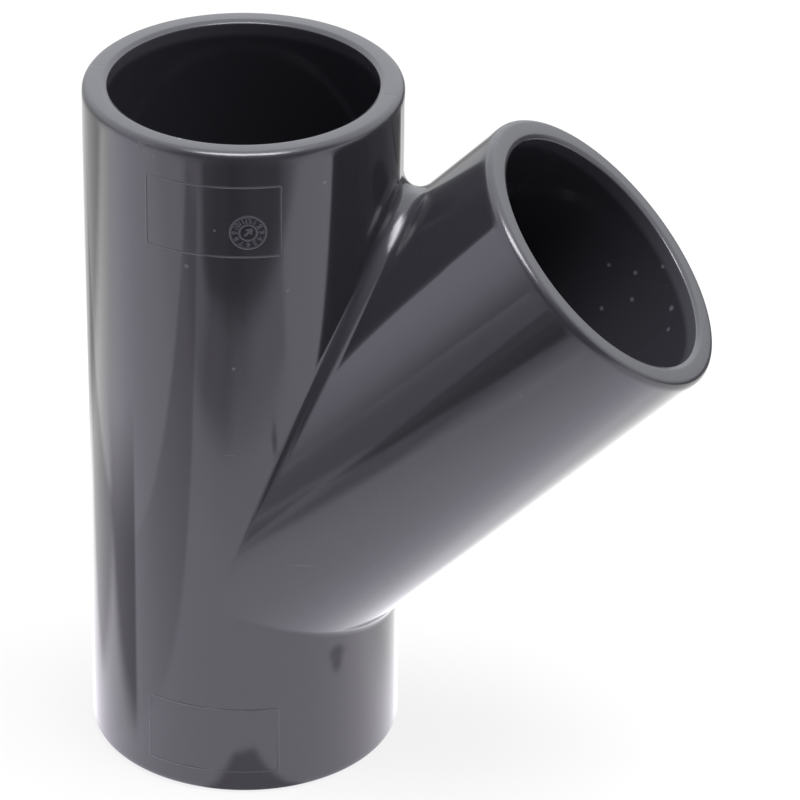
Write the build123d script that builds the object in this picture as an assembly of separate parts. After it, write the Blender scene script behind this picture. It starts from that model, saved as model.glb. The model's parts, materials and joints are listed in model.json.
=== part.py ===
from build123d import *
import os

# A 45 degree lateral wye for solvent-cemented pressure pipe, moulded in one piece.
# The run stands upright on its lower socket, and the branch leaves it upwards to +X.
# The origin is the centre of the lower mouth, in the plane that the fitting stands on.
# Millimetres, with +Z up the run.

# Pipe and socket, the same at all three mouths
pipe_diameter = 75.0  # outside diameter of the pipe that a socket takes
pipe_clearance = 0.1  # gap all round between the pipe and the socket wall
socket_wall = 6.9  # thickness of the wall round a socket
socket_depth = 43.5  # mouth to pipe stop
stop_height = 3.8  # how far a pipe stop stands in from the socket wall

# Edges of a mouth
flare_width = 0.7  # how much wider a socket is at its mouth, to lead the pipe in
flare_depth = 0.9  # how far down the socket the flare reaches
rim_rounding = 1.5  # radius of a rim's outer edge

# Layout: where the axes cross, and how far each pipe stop lies from there
branch_angle = 45.0  # between the branch and the run above it
lower_stop = 19.0  # crossing down to the lower pipe stop
upper_stop = 99.5  # crossing up to the upper pipe stop
branch_stop = 100.5  # crossing to the pipe stop in the branch

# Where the branch grows out of the run
branch_step = 0.1  # the branch is this much less in radius, so its seam is one clean line
seam_rounding = 4.5  # radius of the fillet along the seam, from the crotch to the heel

# Worked out from the sizes above
socket_radius = pipe_diameter / 2 + pipe_clearance
run_radius = socket_radius + socket_wall
branch_radius = run_radius - branch_step
run_bore_radius = socket_radius - stop_height
branch_bore_radius = run_bore_radius - branch_step
lower_leg = lower_stop + socket_depth
height = lower_leg + upper_stop + socket_depth
branch_leg = branch_stop + socket_depth
branch_axis = Pos(0, 0, lower_leg) * Rot(0, branch_angle, 0)

# A mouth is a place at the centre of its rim, facing out of the fitting,
# and the outside radius of its leg
lower_mouth = (Rot(180, 0, 0), run_radius)
upper_mouth = (Pos(0, 0, height), run_radius)
branch_mouth = (branch_axis * Pos(0, 0, branch_leg), branch_radius)
mouths = (lower_mouth, upper_mouth, branch_mouth)


def bar(radius, length):
    # A round bar that stands on its place and runs along +Z
    return Cylinder(radius, length, align=(Align.CENTER, Align.CENTER, Align.MIN))


def outer_form():
    # The outside: two bars of nearly one radius, with a rolling-ball fillet along their seam.
    # The fillet is wide in the crotch, narrows down both flanks as the walls turn towards
    # each other, fades out where they are flush, and comes back small round the heel.
    run = bar(run_radius, height)
    branch = branch_axis * bar(branch_radius, branch_leg)
    both = run + branch
    plain = (GeomType.CIRCLE, GeomType.LINE)
    seam = [edge for edge in both.edges() if edge.geom_type not in plain]
    return fillet(seam, seam_rounding)


def waterway():
    # The passage between the three pipe stops. The moulding's cores meet here,
    # so the edge that divides the flow is left sharp.
    run = Pos(0, 0, socket_depth) * bar(run_bore_radius, height - 2 * socket_depth)
    branch = branch_axis * bar(branch_bore_radius, branch_stop)
    return run + branch


def socket_space():
    # The space behind one mouth, as half a section turned about the socket's axis:
    # flat at the pipe stop, straight where it grips the pipe, flared to lead the pipe in
    outline = Polyline(
        (0, -socket_depth),
        (socket_radius, -socket_depth),
        (socket_radius, -flare_depth),
        (socket_radius + flare_width, 0),
        (0, 0),
        (0, -socket_depth),
    )
    return revolve(make_face(Plane.XZ * outline), Axis.Z)


def rim_edge(solid, place, radius):
    # The outer edge of one rim
    centre = place.position
    circles = solid.edges().filter_by(GeomType.CIRCLE)
    here = [edge for edge in circles if (edge.arc_center - centre).length < 0.01]
    return [edge for edge in here if abs(edge.radius - radius) < 0.01]


def wye_body():
    body = outer_form() - waterway()
    for place, outside in mouths:
        body = body - place * socket_space()
        body = fillet(rim_edge(body, place, outside), rim_rounding)
    return body


os.makedirs("parts", exist_ok=True)
export_step(wye_body(), "parts/wye_body.step")
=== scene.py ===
import bpy
import bmesh
import json
from math import atan2, cos, hypot, pi, radians, sin, sqrt, tan
from mathutils import Matrix, Quaternion, Vector

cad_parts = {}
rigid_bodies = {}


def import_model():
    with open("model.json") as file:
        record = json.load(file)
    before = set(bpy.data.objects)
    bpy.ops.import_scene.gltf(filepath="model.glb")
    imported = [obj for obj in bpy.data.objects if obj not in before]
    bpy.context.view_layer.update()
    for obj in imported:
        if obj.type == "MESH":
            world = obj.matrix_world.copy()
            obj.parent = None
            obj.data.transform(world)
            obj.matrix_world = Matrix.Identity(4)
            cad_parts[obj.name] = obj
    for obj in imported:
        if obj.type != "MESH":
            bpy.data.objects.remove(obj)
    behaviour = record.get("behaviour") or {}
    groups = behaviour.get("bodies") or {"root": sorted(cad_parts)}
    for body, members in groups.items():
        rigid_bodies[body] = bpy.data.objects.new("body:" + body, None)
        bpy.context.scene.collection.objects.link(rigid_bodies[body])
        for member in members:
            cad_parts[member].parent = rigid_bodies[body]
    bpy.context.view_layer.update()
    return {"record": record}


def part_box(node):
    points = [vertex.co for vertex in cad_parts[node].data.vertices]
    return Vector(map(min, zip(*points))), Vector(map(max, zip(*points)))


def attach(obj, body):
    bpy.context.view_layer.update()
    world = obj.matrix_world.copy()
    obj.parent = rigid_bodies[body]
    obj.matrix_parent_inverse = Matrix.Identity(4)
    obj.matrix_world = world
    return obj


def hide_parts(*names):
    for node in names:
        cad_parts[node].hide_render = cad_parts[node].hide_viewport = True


# Lateral wye fitting, dark grey rigid PVC, moulded in one piece. Metres, run upright on +Z, branch to +X.

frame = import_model()
print("frame loaded")

# What the frame gives
mounts = {mount["name"]: mount for mount in frame["record"]["mounts"]}
low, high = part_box("wye_body")
runRadius = -low.x
runHeight = high.z
socketRadius = mounts["upper_socket"]["dims"]["r_mm"] / 1000
flareDepth = runHeight - mounts["upper_socket"]["pos_m"][2]
socketDepth = mounts["upper_socket"]["dims"]["length_mm"] / 1000 + flareDepth
branchSpot = Vector(mounts["branch_socket"]["pos_m"])
crossing = Vector((0, 0, branchSpot.z - branchSpot.x))  # the branch leaves at 45 degrees
branchAxis = Vector((1, 0, 1)).normalized()

wye = {
    "sides": 192,
    "crotchSlant": radians(67.5),  # the seam's planes halve the angles between the legs
    "heelSlant": radians(-22.5),
    "seamRounding": 0.0045,
    "seamSteps": 16,
    "rimRounding": 0.0021,
    "solidRimRounding": 0.0015,  # the same edge in the CAD solid
    "flareWidth": 0.0013,  # a small cone just inside the rim leads the pipe in
    "flareEnd": 0.00072,  # how far down the socket it reaches
    "flareRounding": 0.0003,
    "flareFootRounding": 0.0003,
    "stopHeight": 0.0038,
    "stopRounding": 0.0005,
    "roundingSteps": 6,
    "rimPart": 0.012,  # how much of a leg's end is turned with its mouth
    "stopPart": 0.003,  # and how much of the waterway behind the pipe stop
    "hold": 0.0006,  # a ring this far from each rounding keeps the long walls straight in the light
    "holdRoom": 2.5,  # only on stretches that are longer than this many times the ring's own distance
    "partingWidth": 0.0003,
    "partingDepth": 0.000015,
}
waterRadius = socketRadius - wye["stopHeight"]
upperLeg = runHeight - crossing.z
# as far as the CAD branch reaches: its box ends at the rounding of the branch's rim
branchLeg = (high.x - wye["solidRimRounding"]) * sqrt(2) - runRadius + 2 * wye["solidRimRounding"]

# How near counts as touching
snap = 0.0000001  # a cut takes in a vertex that is this near to it
onLine = 0.000002  # a vertex this near to a line or plane lies on it
wallSlack = 0.0001  # and one no deeper than this inside the run's wall lies on the wall
legMerging = 0.000005  # vertices of two legs that are this near become one
markMerging = 0.000001


def linear(code):
    # sRGB hex to the linear colour that the shader takes
    parts = [int(code[i:i + 2], 16) / 255 for i in (1, 3, 5)]
    return [c / 12.92 if c <= 0.04045 else ((c + 0.055) / 1.055) ** 2.4 for c in parts] + [1]


def addNode(tree, kind, inputs=None, **settings):
    # An input is a value, a socket to link, or a node whose first output is linked
    node = tree.nodes.new("ShaderNode" + kind)
    for name, value in settings.items():
        setattr(node, name, value)
    for name, value in (inputs or {}).items():
        if isinstance(value, bpy.types.Node):
            value = value.outputs[0]
        if isinstance(value, bpy.types.NodeSocket):
            tree.links.new(value, node.inputs[name])
        else:
            node.inputs[name].default_value = value
    return node


def newMaterial(name):
    material = bpy.data.materials.new(name)
    material.use_nodes = True
    material.node_tree.nodes.clear()
    return material, material.node_tree


def asPiece(name, bm, material):
    # A finished bmesh becomes an object at the origin
    mesh = bpy.data.meshes.new(name)
    bm.to_mesh(mesh)
    bm.free()
    mesh.materials.append(material)
    mesh.shade_smooth()
    mesh.set_sharp_from_angle(angle=radians(40))
    piece = bpy.data.objects.new(name, mesh)
    bpy.context.scene.collection.objects.link(piece)
    return piece


# Body: three mitred tubes, three turned mouths, and a ball rolled along the two seams

def cut(bm, normal, spot=(0, 0, 0), clear=False):
    # A flat cut through everything; clear takes away what lies behind it
    everything = bm.verts[:] + bm.edges[:] + bm.faces[:]
    bmesh.ops.bisect_plane(bm, geom=everything, dist=snap, plane_co=spot, plane_no=normal, clear_inner=clear)


def mitredTube(radius, length, slopes):
    # A tube that stands on the crossing, cut by the seam planes on its two sides
    bm = bmesh.new()
    bmesh.ops.create_cone(
        bm, cap_ends=False, segments=wye["sides"], radius1=radius, radius2=radius, depth=length)
    bmesh.ops.translate(bm, verts=bm.verts, vec=(0, 0, length / 2))
    for side, slope in zip((1, -1), slopes):
        if slope:
            cut(bm, (-side * slope, 0, 1), clear=True)
    return bm


def holdPoints(corner, other, rounding):
    # One point beyond a corner's rounding, on the way to the next corner, if the stretch has room for it
    reach = rounding + wye["hold"]
    room = (other - corner).length
    return [corner + (other - corner) * reach / room] if room > wye["holdRoom"] * reach else []


def mouthSection(length):
    # Half a section of a mouth, from the outer wall over the rim and down to the waterway
    start = Vector((runRadius, 0, length - wye["rimPart"]))
    end = Vector((waterRadius, 0, length - socketDepth - wye["stopPart"]))
    corners = [
        (runRadius, 0, wye["rimRounding"]),
        (socketRadius + wye["flareWidth"], 0, wye["flareRounding"]),
        (socketRadius, wye["flareEnd"], wye["flareFootRounding"]),
        (socketRadius, socketDepth, wye["stopRounding"]),
        (waterRadius, socketDepth, wye["stopRounding"]),
    ]
    spots = [start] + [Vector((radius, 0, length - depth)) for radius, depth, rounding in corners] + [end]
    bm = bmesh.new()
    chain = [bm.verts.new(start)]
    rounded = []
    roundings = [rounding for radius, depth, rounding in corners]
    for before, corner, after, rounding in zip(spots, spots[1:], spots[2:], roundings):
        chain += [bm.verts.new(spot) for spot in holdPoints(corner, before, rounding)]
        chain.append(bm.verts.new(corner))
        rounded.append((chain[-1], rounding))
        chain += [bm.verts.new(spot) for spot in holdPoints(corner, after, rounding)]
    chain.append(bm.verts.new(end))
    for pair in zip(chain, chain[1:]):
        bm.edges.new(pair)
    for vert, rounding in rounded:
        bmesh.ops.bevel(
            bm, geom=[vert], offset=rounding, segments=wye["roundingSteps"], profile=0.5,
            affect="VERTICES", material=-1)
    return bm


def turnedMouth(length):
    bm = mouthSection(length)
    section = bm.verts[:] + bm.edges[:]
    bmesh.ops.spin(bm, geom=section, axis=(0, 0, 1), angle=2 * pi, steps=wye["sides"], use_merge=True)
    return bm


def addLeg(body, length, slants, place):
    # slants are the seam planes on the leg's +X and -X sides, or None where the run goes straight on
    ballReach = 1 + wye["seamRounding"] / runRadius
    slopes = [abs(tan(slant)) if slant else 0 for slant in slants]
    outer = mitredTube(runRadius, length - wye["rimPart"], [slope * ballReach for slope in slopes])
    for side, slope in zip((1, -1), slopes):
        if slope:
            held = slope * ballReach + wye["hold"] / runRadius
            cut(outer, (-side * held, 0, 1))
    inner = mitredTube(waterRadius, length - socketDepth - wye["stopPart"], slopes)
    for part in (outer, inner, turnedMouth(length)):
        mesh = bpy.data.meshes.new("leg")
        part.to_mesh(mesh)
        part.free()
        mesh.transform(place)
        body.from_mesh(mesh)
        bpy.data.meshes.remove(mesh)


def rollSeam(body, slant, turn):
    # The ball touches the run at onRun and the branch at onBranch, and its centre rides along the seam's
    # plane. turn holds how far round the run each point of the seam lies.
    rounding = wye["seamRounding"]
    reach = runRadius + rounding
    rise = tan(slant)
    acrossSeam = Vector((-sin(slant), 0, cos(slant)))

    def onSeamLine(vert):
        offLine = vert.co.z - crossing.z - vert.co.x * reach / runRadius * rise
        outside = hypot(vert.co.x, vert.co.y) > runRadius - wallSlack
        return abs(offLine) < onLine and vert.co.x > -onLine and outside

    edges = [edge for edge in body.edges if edge.is_boundary and all(onSeamLine(vert) for vert in edge.verts)]
    for edge in edges:
        for vert in edge.verts:
            vert[turn] = atan2(vert.co.y, vert.co.x)
    for step in range(1, wye["seamSteps"] + 1):
        made = bmesh.ops.extrude_edge_only(body, edges=edges)["geom"]
        verts = {item for item in made if isinstance(item, bmesh.types.BMVert)}
        around = {edge for vert in verts for edge in vert.link_edges}
        edges = [edge for edge in around if all(vert in verts for vert in edge.verts)]
        for vert in verts:
            onRun = Vector((cos(vert[turn]), sin(vert[turn]), 0))
            onBranch = onRun.reflect(acrossSeam)
            ball = crossing + reach * (onRun + Vector((0, 0, onRun.x * rise)))
            vert.co = ball - rounding * onRun.slerp(onBranch, step / wye["seamSteps"])


def addPartingLine(body):
    # The mould's halves met in the XZ plane: a hair line down the outside and across the rims
    half = wye["partingWidth"] / 2
    for side in (-half, half):
        cut(body, (0, 1, 0), spot=(0, side, 0))
    body.normal_update()
    mouthEdge = socketRadius + wye["flareWidth"] + wye["flareRounding"]
    for vert in body.verts:
        if abs(vert.co.y) > onLine:
            continue
        fromRun = abs(vert.co.x)
        along = vert.co.dot(branchAxis) - crossing.dot(branchAxis)
        fromBranch = (vert.co - crossing - along * branchAxis).length if along > 0 else 1
        if min(fromRun, fromBranch) > mouthEdge:
            vert.co -= vert.normal * wye["partingDepth"]


def makeBody(material):
    body = bmesh.new()
    crotch, heel = wye["crotchSlant"], wye["heelSlant"]
    toCrossing = Matrix.Translation(crossing)
    addLeg(body, upperLeg, (crotch, None), toCrossing)
    addLeg(body, crossing.z, (heel, None), toCrossing @ Matrix.Rotation(pi, 4, "X"))
    addLeg(body, branchLeg, (heel, crotch), toCrossing @ Matrix.Rotation(pi / 4, 4, "Y"))
    turn = body.verts.layers.float.new("turn")
    rollSeam(body, crotch, turn)
    rollSeam(body, heel, turn)
    body.verts.layers.float.remove(turn)
    bmesh.ops.remove_doubles(body, verts=body.verts, dist=legMerging)
    bmesh.ops.recalc_face_normals(body, faces=body.faces)
    addPartingLine(body)
    openEdges = sum(not edge.is_manifold for edge in body.edges)
    print("body:", len(body.faces), "faces,", openEdges, "open edges")
    return asPiece("wye_moulding", body, material)


# Marks: the outlines of two mould inserts, bare inside, and a date clock with plain numbers

marks = {
    "lineWidth": 0.0006,
    "pointGap": 0.0015,  # a line has points no farther apart, so that it bends with the wall
    "relief": 0.0001,
    "upperInsert": ((-0.0183, 0.1742), (0.0201, 0.1953)),  # corners, as width round the wall and height
    "lowerInsert": ((-0.0194, 0.0072), (0.0194, 0.0282)),
    "cornerRounding": 0.0006,
    "clock": Vector((0.0111, 0.1817)),
    "clockRadius": 0.0049,
    "discRadius": 0.0024,
    "numbersAt": 0.0036,
    "numberSize": 0.0019,
    "numberSwell": 0.00004,  # how much fatter the numbers are than plain type
    "numberBevel": 0.00008,
    "arrowReach": 0.62,  # from the clock's centre to the arrow's tip, as a share of the disc
    "headWidth": 0.6,  # how far the arrow's head spreads and how far out it starts, as shares of that
    "headStart": 0.1,
}


def addCurve(bm, curve, place):
    # A curve or a text becomes mesh, at its place in the flat drawing
    holder = bpy.data.objects.new(curve.name, curve)
    bpy.context.scene.collection.objects.link(holder)
    mesh = bpy.data.meshes.new_from_object(holder.evaluated_get(bpy.context.evaluated_depsgraph_get()))
    mesh.transform(place)
    bm.from_mesh(mesh)
    bpy.data.objects.remove(holder)
    bpy.data.curves.remove(curve)
    bpy.data.meshes.remove(mesh)


def addLine(bm, points, closed=True):
    # A raised line, half round
    path = []
    following = points[1:] + points[:1] if closed else points[1:]
    for start, end in zip(points, following):
        parts = max(1, round((end - start).length / marks["pointGap"]))
        path += [start.lerp(end, part / parts) for part in range(parts)]
    if not closed:
        path.append(points[-1])
    curve = bpy.data.curves.new("line", "CURVE")
    curve.dimensions = "3D"
    curve.bevel_depth = marks["lineWidth"] / 2
    curve.bevel_resolution = 2
    curve.use_fill_caps = True
    spline = curve.splines.new("POLY")
    spline.points.add(len(path) - 1)
    for point, spot in zip(spline.points, path):
        point.co = (*spot, 0, 1)
    spline.use_cyclic_u = closed
    addCurve(bm, curve, Matrix.Scale(2 * marks["relief"] / marks["lineWidth"], 4, (0, 0, 1)))


def arc(centre, radius, start, end, steps):
    angles = [start + (end - start) * step / steps for step in range(steps + 1)]
    return [centre + radius * Vector((cos(angle), sin(angle))) for angle in angles]


def addFrame(bm, lowCorner, highCorner):
    rounding = marks["cornerRounding"]
    points = []
    for quarter, (across, up) in enumerate(((1, 1), (0, 1), (0, 0), (1, 0))):
        corner = Vector((highCorner[0] if across else lowCorner[0], highCorner[1] if up else lowCorner[1]))
        inward = Vector((-1 if across else 1, -1 if up else 1))
        start = quarter * pi / 2
        points += arc(corner + rounding * inward, rounding, start, start + pi / 2, steps=4)
    addLine(bm, points)


def addNumber(bm, number, angle):
    label = bpy.data.curves.new("number", "FONT")
    label.body = str(number)
    label.size = marks["numberSize"]
    label.align_x = "CENTER"
    label.align_y = "CENTER"
    label.extrude = marks["relief"]
    label.offset = marks["numberSwell"]
    label.bevel_depth = marks["numberBevel"]
    label.bevel_resolution = 2
    spot = marks["clock"] + marks["numbersAt"] * Vector((sin(angle), cos(angle)))
    addCurve(bm, label, Matrix.Translation((*spot, 0)) @ Matrix.Rotation(-angle, 4, "Z"))


def addClock(bm):
    # Two rings, the numbers 1 to 12 between them, and an arrow in the middle
    centre = marks["clock"]
    for radius in (marks["clockRadius"], marks["discRadius"]):
        addLine(bm, arc(centre, radius, 0, 2 * pi, steps=48)[:-1])
    for number in range(1, 13):
        addNumber(bm, number, number * pi / 6)
    ahead = Vector((1, 1)).normalized() * marks["discRadius"] * marks["arrowReach"]
    aside = Vector((-ahead.y, ahead.x)) * marks["headWidth"]
    addLine(bm, [centre - ahead, centre + ahead], closed=False)
    for side in (-1, 1):
        headEnd = centre + side * aside + marks["headStart"] * ahead
        addLine(bm, [centre + ahead, headEnd], closed=False)


def onWall(bm):
    # Wraps the flat drawing round the front of the run; nothing passes the box of the part
    for vert in bm.verts:
        angle = vert.co.x / runRadius
        out = runRadius + vert.co.z
        vert.co = (out * sin(angle), max(-out * cos(angle), low.y), vert.co.y)


def makeMarks(material):
    bm = bmesh.new()
    addFrame(bm, *marks["upperInsert"])
    addFrame(bm, *marks["lowerInsert"])
    addClock(bm)
    onWall(bm)
    bmesh.ops.remove_doubles(bm, verts=bm.verts, dist=markMerging)
    bmesh.ops.recalc_face_normals(bm, faces=bm.faces)
    print("marks:", len(bm.faces), "faces")
    return asPiece("moulded_marks", bm, material)


# Finish

pvc = {
    "colour": "#29292d",
    "roughness": 0.07,
    "ior": 1.53,
    "raised": "#38383d",  # raised marks hold dust and are less polished
    "raisedRoughness": 0.3,
    "crotchRoughness": 0.25,
    "rimRoughness": 0.25,
    "matRim": 0.0045,  # this far from a mouth the mould was less polished, and fully so on the nearer half
    # bumps, as width, height and detail
    "swell": (0.022, 0.00004, 1),  # slow waves where the thick wall sank as it cooled
    "grit": (0.0005, 0.00003, 2),  # only in the crotch
    "peel": (0.0016, 0.000002, 2),  # faint orange peel
}
# What moulding and handling left, and painted light just inside the mouths. A spot has a centre, a reach and
# how much of the reach is full strength.
wearAndPaintedLight = {
    "specks": [
        ((-0.009, -0.038, 0.2055), 0.0008), ((0.106, 0.029, 0.134), 0.0010),
        ((0.118, 0.021, 0.137), 0.0012), ((0.106, 0.032, 0.141), 0.0009),
        ((0.114, 0.030, 0.145), 0.0009), ((0.098, 0.035, 0.141), 0.0008),
        ((0.097, 0.031, 0.129), 0.0009), ((0.118, 0.016, 0.133), 0.0010),
        ((0.007, -0.044, 0.1395), 0.0007), ((-0.006, -0.044, 0.170), 0.0009),
        ((0.030, -0.033, 0.194), 0.0007), ((0.002, -0.0445, 0.182), 0.0006),
        ((0.021, -0.039, 0.163), 0.0006), ((0.087, -0.0445, 0.141), 0.0006),
    ],
    "speckCore": 0.3,
    "speckStrength": 0.24,
    # the dust colour also paints the light that falls just inside the mouths
    "dust": "#9a9aa2",
    "dustGrid": 0.0045,  # one grain of dust at most in each cell of this size
    "dustGrain": 0.00016,
    "dustChance": (0.5, 0.9),  # cells below the first have no grain, and those above the second a full one
    "dustStrength": 0.5,
    "dustRoughness": 0.6,
    "scuff": ((-0.018, -0.041, 0.202), 0.005, 0.0),
    "scuffGrain": 0.0012,
    "scuffCover": (0.58, 0.68),
    "scuffStrength": 0.35,
    # a hair scratch is where a thin ball shell meets the wall: centre and radius of the ball, then the
    # centre and reach of the stretch that shows
    "scratches": [
        (((0.026, -0.043, 0.060), 0.019), ((0.026, -0.043, 0.079), 0.006)),
        (((0.060, -0.043, 0.095), 0.030), ((0.045, -0.043, 0.069), 0.004)),
        (((0.006, -0.045, 0.090), 0.022), ((0.006, -0.045, 0.112), 0.003)),
    ],
    "scratchWidth": 0.00009,
    "scratchStrength": 0.3,
    "stains": [
        ((0.0335, -0.0295, 0.042), (0.0037, 0.0045, 0.0043), 0.2),
        ((0.0335, -0.0295, 0.0395), (0.0024, 0.0035, 0.006), 0.2),
    ],
    "stainStrength": 0.5,
    "crotch": ((0.046, -0.013, 0.171), 0.009, 0.3),
    "clockDisc": ((0.01103, -0.04311, 0.1817), 0.0025, 0.9),
    "discStrength": 0.6,
    "mouthLightDepths": (0.0055, 0.0033),  # painted light falling into the mouth: the socket's wall is paler down to the second depth and fades out by the first
    "lipSlack": 0.0002,
    "mouthLightStrength": 0.09,
    "film": 0.03,  # width of the smears that hands leave
    "filmCover": (0.35, 0.7),
    "filmRoughness": (-0.015, 0.03),
}


def nearSpot(tree, place, centre, reach, core):
    # 1 at the centre, 0 from its reach on; reach may differ by axis
    reach = reach if isinstance(reach, tuple) else (reach, reach, reach)
    offset = addNode(tree, "VectorMath", {0: place, 1: centre}, operation="SUBTRACT")
    scaled = addNode(tree, "VectorMath", {0: offset, 1: reach}, operation="DIVIDE")
    away = addNode(tree, "VectorMath", {0: scaled}, operation="LENGTH").outputs["Value"]
    return addNode(
        tree, "MapRange", {"Value": away, "From Min": 1, "From Max": core}, interpolation_type="SMOOTHSTEP")


def strongest(tree, masks):
    mask = masks[0]
    for other in masks[1:]:
        mask = addNode(tree, "Math", {0: mask, 1: other}, operation="MAXIMUM")
    return mask


def grainMask(tree, place):
    # Fine grains of dust, in some cells of a grid
    cells = addNode(tree, "TexVoronoi", {"Vector": place, "Scale": 1 / wearAndPaintedLight["dustGrid"]})
    size = wearAndPaintedLight["dustGrain"] / wearAndPaintedLight["dustGrid"]
    grain = addNode(tree, "MapRange", {"Value": cells, "From Min": size, "From Max": 0})
    draw = addNode(tree, "SeparateColor", {0: cells.outputs["Color"]})
    rare, common = wearAndPaintedLight["dustChance"]
    chance = addNode(tree, "MapRange", {
        "Value": draw, "From Min": rare, "From Max": common, "To Max": wearAndPaintedLight["dustStrength"]})
    return addNode(tree, "Math", {0: grain, 1: chance}, operation="MULTIPLY")


def scuffMask(tree, place):
    # A rubbed patch under the upper rim
    noise = addNode(tree, "TexNoise", {"Vector": place, "Scale": 1 / wearAndPaintedLight["scuffGrain"], "Detail": 3})
    bare, full = wearAndPaintedLight["scuffCover"]
    rubbed = addNode(tree, "MapRange", {
        "Value": noise, "From Min": bare, "From Max": full, "To Max": wearAndPaintedLight["scuffStrength"]})
    patch = nearSpot(tree, place, *wearAndPaintedLight["scuff"])
    return addNode(tree, "Math", {0: rubbed, 1: patch}, operation="MULTIPLY")


def dustMask(tree, place):
    specks = strongest(tree, [nearSpot(tree, place, *speck, wearAndPaintedLight["speckCore"]) for speck in wearAndPaintedLight["specks"]])
    specks = addNode(tree, "Math", {0: specks, 1: wearAndPaintedLight["speckStrength"]}, operation="MULTIPLY")
    return strongest(tree, [grainMask(tree, place), specks, scuffMask(tree, place)])


def scratchMask(tree, place):
    masks = []
    for (centre, radius), (middle, reach) in wearAndPaintedLight["scratches"]:
        away = addNode(tree, "VectorMath", {0: place, 1: centre}, operation="DISTANCE").outputs["Value"]
        offShell = addNode(tree, "Math", {0: away, 1: radius}, operation="SUBTRACT")
        offShell = addNode(tree, "Math", {0: offShell}, operation="ABSOLUTE")
        line = addNode(tree, "MapRange", {"Value": offShell, "From Min": wearAndPaintedLight["scratchWidth"], "From Max": 0})
        stretch = nearSpot(tree, place, middle, reach, 0.0)
        masks.append(addNode(tree, "Math", {0: line, 1: stretch}, operation="MULTIPLY"))
    scratches = strongest(tree, masks)
    return addNode(tree, "Math", {0: scratches, 1: wearAndPaintedLight["scratchStrength"]}, operation="MULTIPLY")


def mouthMasks(tree, place, centre, axis):
    # The rim of one mouth, and the painted light that falls in just inside it
    offset = addNode(tree, "VectorMath", {0: centre, 1: place}, operation="SUBTRACT")
    depth = addNode(tree, "VectorMath", {0: offset, 1: axis}, operation="DOT_PRODUCT").outputs["Value"]
    along = addNode(tree, "VectorMath", {0: axis, "Scale": depth}, operation="SCALE")
    across = addNode(tree, "VectorMath", {0: offset, 1: along}, operation="DISTANCE").outputs["Value"]
    rim = addNode(tree, "MapRange", {
        "Value": depth, "From Min": pvc["matRim"], "From Max": 0.5 * pvc["matRim"]})
    inside = addNode(tree, "Math", {0: across, 1: socketRadius + wearAndPaintedLight["lipSlack"]}, operation="LESS_THAN")
    lipEnd, lipStart = wearAndPaintedLight["mouthLightDepths"]
    mouthLight = addNode(
        tree, "MapRange", {"Value": depth, "From Min": lipEnd, "From Max": lipStart},
        interpolation_type="SMOOTHSTEP")
    return rim, addNode(tree, "Math", {0: inside, 1: mouthLight}, operation="MULTIPLY")


def polishOf(tree, place, roughness, crotch, rims):
    # The mould's polish under a film from handling, and the duller crotch and rims
    noise = addNode(tree, "TexNoise", {"Vector": place, "Scale": 1 / wearAndPaintedLight["film"], "Detail": 3})
    clean, smeared = wearAndPaintedLight["filmCover"]
    less, more = wearAndPaintedLight["filmRoughness"]
    film = addNode(tree, "MapRange", {
        "Value": noise, "From Min": clean, "From Max": smeared,
        "To Min": roughness + less, "To Max": roughness + more})
    polish = addNode(tree, "Mix", {0: crotch, 2: film, 3: pvc["crotchRoughness"]}, data_type="FLOAT")
    return addNode(tree, "Mix", {0: rims, 2: polish, 3: pvc["rimRoughness"]}, data_type="FLOAT")


def surfaceBumps(tree, place, crotch):
    # Each pattern stands on the one before it, and the grit only shows in the crotch
    bump = None
    for pattern, strength in (("swell", 1), ("grit", crotch), ("peel", 1)):
        width, height, detail = pvc[pattern]
        noise = addNode(tree, "TexNoise", {"Vector": place, "Scale": 1 / width, "Detail": detail})
        under = {"Normal": bump} if bump else {}
        bump = addNode(tree, "Bump", {"Strength": strength, "Distance": height, "Height": noise} | under)
    return bump


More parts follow.
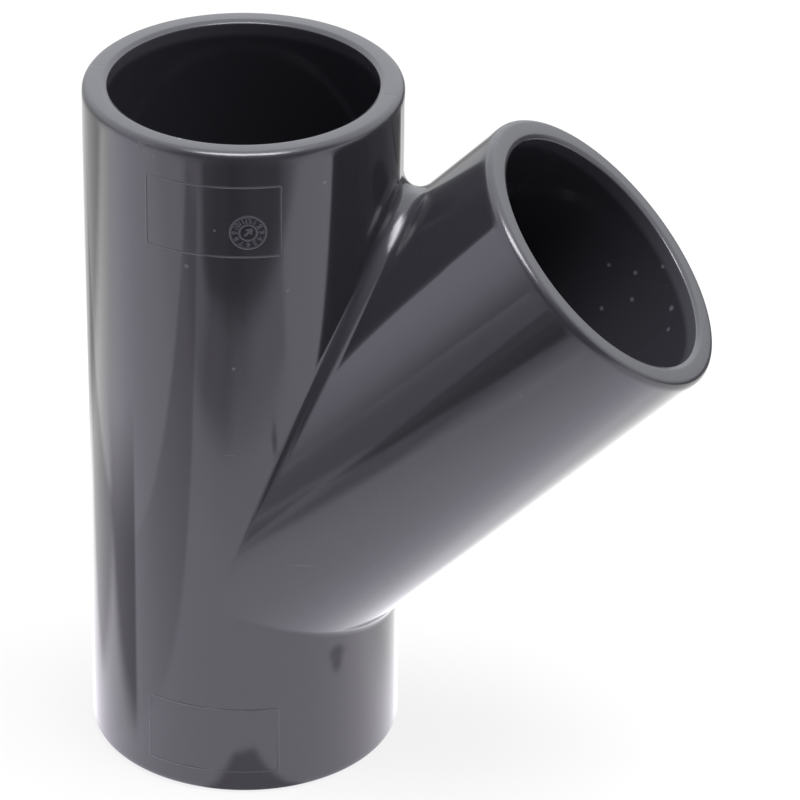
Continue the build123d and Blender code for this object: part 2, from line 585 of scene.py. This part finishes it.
def mouldedPvc(name, colour, roughness, discStrength):
    # Rigid PVC from a steel mould: dark grey and glossy, with a faint orange peel that unsettles the
    # reflections, a little dust, a film from handling, and painted light just inside the mouths. Stains and
    # the clock's disc have lost their gloss.
    material, tree = newMaterial(name)
    place = addNode(tree, "TexCoord").outputs["Object"]
    dust = dustMask(tree, place)
    crotch = nearSpot(tree, place, *wearAndPaintedLight["crotch"])
    stain = strongest(tree, [nearSpot(tree, place, *stain) for stain in wearAndPaintedLight["stains"]])
    stain = addNode(tree, "Math", {0: stain, 1: wearAndPaintedLight["stainStrength"]}, operation="MULTIPLY")
    disc = nearSpot(tree, place, *wearAndPaintedLight["clockDisc"])
    disc = addNode(tree, "Math", {0: disc, 1: discStrength}, operation="MULTIPLY")
    # 0.5 is the plain gloss of the IOR
    gloss = addNode(tree, "MapRange", {"Value": strongest(tree, [stain, disc]), "To Min": 0.5, "To Max": 0})
    ends = [((0, 0, runHeight), (0, 0, 1)), (tuple(crossing + branchLeg * branchAxis), tuple(branchAxis))]
    rims, mouthLights = zip(*[mouthMasks(tree, place, *end) for end in ends])
    polish = polishOf(tree, place, roughness, crotch, strongest(tree, rims))
    # painted light just inside the mouths, mixed in with the dust colour
    mouthLight = addNode(tree, "Math", {0: strongest(tree, mouthLights), 1: wearAndPaintedLight["mouthLightStrength"]}, operation="MULTIPLY")
    pale = strongest(tree, [dust, scratchMask(tree, place), mouthLight])
    tint = addNode(tree, "Mix", {0: pale, 6: linear(colour), 7: linear(wearAndPaintedLight["dust"])}, data_type="RGBA")
    shader = addNode(tree, "BsdfPrincipled", {
        "Base Color": tint.outputs[2],
        "Roughness": addNode(tree, "Mix", {0: dust, 2: polish, 3: wearAndPaintedLight["dustRoughness"]}, data_type="FLOAT"),
        "IOR": pvc["ior"],
        "Specular IOR Level": gloss,
        "Normal": surfaceBumps(tree, place, crotch),
    })
    addNode(tree, "OutputMaterial", {"Surface": shader})
    return material


# Set: pale floor, soft light and the camera of the photograph

studio = {
    "floorSize": 6,
    "paper": (0.6, 0.6, 0.6, 1),
    "cameraPaper": (0.1, 0.1, 0.1, 1),  # together with the lift, lit paper is white for the camera
    "lift": 0.86,
    "floorGlow": 2.5,  # how bright the lit paper looks in the gloss
    "floorTint": "#f5f0ff",
    "tintEdge": (-1.0, 1.5),  # in run radii behind the fitting's middle, where the tint fades to white
    "contactRing": 1.03,  # in run radii, as far as the fitting's foot dims the floor in the gloss
    "contactGlow": 0.6,
}
# Painted shade on the floor's glow in the gloss, in run radii: how much darker, and the soft edges that bound
# each shade, as a direction on the floor and the stretch along it over which the shade comes in
groundShades = {
    "front": (0.12, [((0.3, -1), 3.3, 5.0)]),
    "half shade in front": (0.3, [
        ((0.1, -1), 4.9, 6.0), ((1, -0.9), 2.2, 3.8), ((-0.894, -0.447), -1.95, -1.45)]),
    "lane in front": (0.3, [
        ((0.15, -0.99), 5.8, 6.8), ((0.99, 0.15), -1.6, -0.2), ((-0.99, -0.15), -1.6, -0.2)]),
    "shade beside the lane": (0.32, [
        ((0.15, -0.99), 4.9, 6.0), ((0.99, 0.15), -3.2, -2.2), ((-0.99, -0.15), 0, 0.9)]),
    "unlit ground": (0.7, [
        ((0.15, -0.99), 6.9, 7.7), ((0.962, -0.275), -0.3, 0.5), ((-0.367, -0.93), 1.3, 5.6)]),
    "darkest ground": (0.3, [
        ((0.25, -0.968), 7.3, 8.1), ((1, 0), 0.3, 0.8), ((-0.367, -0.93), 3.5, 5.8)]),
    "dim ground far left": (0.42, [
        ((0.3, -1), 7.8, 9.2), ((-0.962, 0.275), -0.5, 0.3), ((-0.3, 1), -60, -9)]),
    "band": (0.36, [
        ((0.992, -0.126), -3.2, -3.05), ((-0.97, 0.243), 0.7, 0.85),
        ((0.1, -1), -0.5, 5.0), ((0, 1), -9.2, -8.2)]),
    "spike": (0.58, [
        ((-0.233, 0.972), -0.74, -0.66), ((-0.344, -0.939), 1.08, 1.47), ((1, 0), -5.5, -3.2)]),
    "behind left": (0.36, [
        ((0.939, 0.344), -3.8, -3.5), ((0, 1), -0.3, 0.1), ((-0.8, -0.6), 1.15, 1.45)]),
    "left and behind": (0.12, [((0, 1), -0.6, 0.4), ((-1, 0), 0.5, 1.5)]),
    "far behind left": (0.55, [((0, 1), 1.9, 3.3), ((-1, 0), 2.0, 4.0)]),
    "behind right": (0.22, [((0, 1), 0, 0.8), ((1, 0), 1.0, 1.8)]),
    "dark behind right": (0.9, [((1, 0), 1.8, 4.0), ((0, 1), 4.5, 6.5)]),
    "spot": (0.6, [
        ((1, 0), 2.75, 2.85), ((-1, 0), -3.15, -3.05), ((0, 1), -4.9, -4.75), ((0, -1), 4.4, 4.5)]),
    # painted shadow of the fitting itself, on the floor in front of its foot
    "foot": (0.55, [
        ((0.914, 0.406), -0.5, -0.38), ((-0.986, 0.164), -0.75, -0.63), ((0, 1), -1.52, -1.4)]),
}
# The room that the gloss shows: how bright each wall is low down and high up, and the heights of a ray's
# direction, from 0 at the horizon to 1 overhead, between which that changes
room = {
    "front": ((0.3, 1.0), (0.2, 0.8)),
    "left": ((1.4, 2.25), (-0.05, 0.22)),
    "back": ((1.25, 2.3), (0.05, 0.42)),
    "leftEdge": (-0.4, -0.8),  # where the front goes over into the left wall, along X
    "backEdge": (-0.3, 0.1),  # and both into the back, along Y
    "frontTint": "#f1eeff",
    "backTint": "#f9fbff",
    "onDull": 0.3,  # how much of that lights dull surfaces
}


def groundGlow(tree, place):
    # The brightness of the floor in the gloss, from the plan of its shades
    glow = studio["floorGlow"]
    for depth, edges in groundShades.values():
        cover = depth
        for direction, start, end in edges:
            along = addNode(tree, "VectorMath", {0: place, 1: (*direction, 0)}, operation="DOT_PRODUCT")
            inside = addNode(tree, "MapRange", {
                "Value": along.outputs["Value"], "From Min": start * runRadius, "From Max": end * runRadius,
            }, interpolation_type="SMOOTHSTEP")
            cover = addNode(tree, "Math", {0: cover, 1: inside}, operation="MULTIPLY")
        spared = addNode(tree, "Math", {0: 1, 1: cover}, operation="SUBTRACT")
        glow = addNode(tree, "Math", {0: glow, 1: spared}, operation="MULTIPLY")
    # The ring where the fitting stands on the floor gets little light
    away = addNode(tree, "VectorMath", {0: place}, operation="LENGTH").outputs["Value"]
    contact = addNode(tree, "MapRange", {
        "Value": away, "From Min": runRadius, "From Max": studio["contactRing"] * runRadius,
        "To Min": studio["contactGlow"]})
    return addNode(tree, "Math", {0: glow, 1: contact}, operation="MULTIPLY")


def mattPaper():
    # Matt background paper: it has no gloss of its own. The camera sees it white with a soft shadow, and the
    # fitting's gloss sees it as a painted glow with painted shades, faintly lavender in front and plain white
    # behind.
    material, tree = newMaterial("pale matt paper")
    path = addNode(tree, "LightPath").outputs
    paper = addNode(tree, "BsdfDiffuse", {"Color": studio["paper"]})
    shown = addNode(tree, "BsdfDiffuse", {"Color": studio["cameraPaper"]})
    lift = addNode(tree, "Emission", {"Strength": studio["lift"]})
    lifted = addNode(tree, "AddShader", {0: shown, 1: lift})
    direct = addNode(tree, "MixShader", {0: path["Is Camera Ray"], 1: paper, 2: lifted})
    place = addNode(tree, "TexCoord").outputs["Object"]
    behind = addNode(tree, "SeparateXYZ", {0: place}).outputs["Y"]
    start, end = [edge * runRadius for edge in studio["tintEdge"]]
    toWhite = addNode(tree, "MapRange", {"Value": behind, "From Min": start, "From Max": end})
    tint = addNode(tree, "Mix", {
        0: toWhite, 6: linear(studio["floorTint"]), 7: (1, 1, 1, 1)}, data_type="RGBA")
    glow = addNode(tree, "Emission", {"Color": tint.outputs[2], "Strength": groundGlow(tree, place)})
    mirrored = strongest(tree, [path["Is Glossy Ray"], path["Is Transmission Ray"]])
    both = addNode(tree, "MixShader", {0: mirrored, 1: direct, 2: glow})
    addNode(tree, "OutputMaterial", {"Surface": both})
    return material


def makeFloor():
    bm = bmesh.new()
    bmesh.ops.create_grid(bm, x_segments=1, y_segments=1, size=studio["floorSize"] / 2)
    floor = asPiece("floor", bm, mattPaper())


def wallGlow(tree, height, wall):
    (dim, bright), (start, end) = room[wall]
    return addNode(tree, "MapRange", {
        "Value": height, "From Min": start, "From Max": end, "To Min": dim, "To Max": bright})


def wallEdge(tree, heading, edge):
    start, end = room[edge]
    return addNode(
        tree, "MapRange", {"Value": heading, "From Min": start, "From Max": end},
        interpolation_type="SMOOTHSTEP")


def makeRoom():
    # White behind the fitting for the camera; in the gloss a room that is dim in front and bright behind
    world = bpy.data.worlds.new("studio")
    bpy.context.scene.world = world
    world.use_nodes = True
    tree = world.node_tree
    tree.nodes.clear()
    path = addNode(tree, "LightPath").outputs
    direction = addNode(tree, "TexCoord").outputs["Generated"]
    split = addNode(tree, "SeparateXYZ", {0: direction}).outputs
    front, left, back = [wallGlow(tree, split["Z"], wall) for wall in ("front", "left", "back")]
    toLeft = wallEdge(tree, split["X"], "leftEdge")
    toBack = wallEdge(tree, split["Y"], "backEdge")
    sides = addNode(tree, "Mix", {0: toLeft, 2: front, 3: left}, data_type="FLOAT")
    around = addNode(tree, "Mix", {0: toBack, 2: sides, 3: back}, data_type="FLOAT")
    mirrored = strongest(tree, [path["Is Glossy Ray"], path["Is Transmission Ray"]])
    onDull = addNode(tree, "Math", {0: around, 1: room["onDull"]}, operation="MULTIPLY")
    light = addNode(tree, "Mix", {0: mirrored, 2: onDull, 3: around}, data_type="FLOAT")
    strength = addNode(tree, "Mix", {0: path["Is Camera Ray"], 2: light, 3: 1}, data_type="FLOAT")
    tint = addNode(tree, "Mix", {
        0: toBack, 6: linear(room["frontTint"]), 7: linear(room["backTint"])}, data_type="RGBA")
    tint = addNode(tree, "Mix", {
        0: path["Is Camera Ray"], 6: tint.outputs[2], 7: (1, 1, 1, 1)}, data_type="RGBA")
    backdrop = addNode(tree, "Background", {"Color": tint.outputs[2], "Strength": strength})
    addNode(tree, "OutputWorld", {"Surface": backdrop})


# The lamps, placed by their angles in degrees, from the front and upwards; glow is how bright a face is
lampAim = Vector((0.03, 0, 0.17))
lampTint = "#fbfaff"
ceilingLight = {"azimuth": 8, "elevation": 68, "distance": 1.25, "width": 0.8, "height": 0.5, "glow": 8}
overheadSoftbox = {"elevation": 67, "distance": 1.2, "height": 0.55, "glow": 16}
overheadRow = ((-27, 0.15), (0, 0.12), (41, 0.2))  # azimuth and width of each
topFill = {"azimuth": 90, "elevation": 79, "distance": 1.5, "width": 0.9, "height": 0.9, "glow": 20}


def softbox(name, seenBy, azimuth, elevation, distance, width, height, glow):
    # A lamp that faces the fitting and is seen by its gloss or by dull light alone
    lamp = bpy.data.lights.new(name, "AREA")
    lamp.shape = "RECTANGLE"
    lamp.size = width
    lamp.size_y = height
    lamp.energy = glow * pi * width * height
    lamp.color = linear(lampTint)[:3]
    holder = bpy.data.objects.new(name, lamp)
    turned, raised = radians(azimuth), radians(elevation)
    toLamp = Vector((sin(turned) * cos(raised), -cos(turned) * cos(raised), sin(raised)))
    holder.location = lampAim + distance * toLamp
    holder.rotation_mode = "QUATERNION"
    holder.rotation_quaternion = toLamp.to_track_quat("Z", "Y")
    holder.visible_camera = False
    holder.visible_glossy = seenBy == "gloss"
    holder.visible_diffuse = seenBy == "dull"
    bpy.context.scene.collection.objects.link(holder)


shot = {
    "position": (0.29553, -1.29460, 0.86285),
    "aim": (0.04500, 0, 0.10989),
    "roll": radians(0.763),
    "lens": 242.05,
    "sensor": 36,
    "farthest": 20,
}


def photoCamera():
    data = bpy.data.cameras.new("camera")
    data.lens = shot["lens"]
    data.sensor_width = shot["sensor"]
    data.sensor_fit = "HORIZONTAL"
    data.clip_end = shot["farthest"]
    camera = bpy.data.objects.new("camera", data)
    camera.location = shot["position"]
    sight = Vector(shot["aim"]) - camera.location
    camera.rotation_mode = "QUATERNION"
    camera.rotation_quaternion = sight.to_track_quat("-Z", "Y") @ Quaternion((0, 0, 1), shot["roll"])
    bpy.context.scene.collection.objects.link(camera)
    bpy.context.scene.camera = camera


photoCamera()
makeFloor()
makeRoom()
softbox("ceiling light", "gloss", **ceilingLight)
for azimuth, width in overheadRow:
    softbox("overhead softbox", "gloss", azimuth=azimuth, width=width, **overheadSoftbox)
softbox("top fill", "dull", **topFill)
print("set ready")

moulding = makeBody(mouldedPvc("moulded grey PVC", pvc["colour"], pvc["roughness"], wearAndPaintedLight["discStrength"]))
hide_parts("wye_body")
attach(moulding, "root")
mouldMarks = makeMarks(mouldedPvc("raised marks in grey PVC", pvc["raised"], pvc["raisedRoughness"], 0))
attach(mouldMarks, "root")
print("fitting ready")

bpy.context.scene.view_settings.view_transform = "Standard"
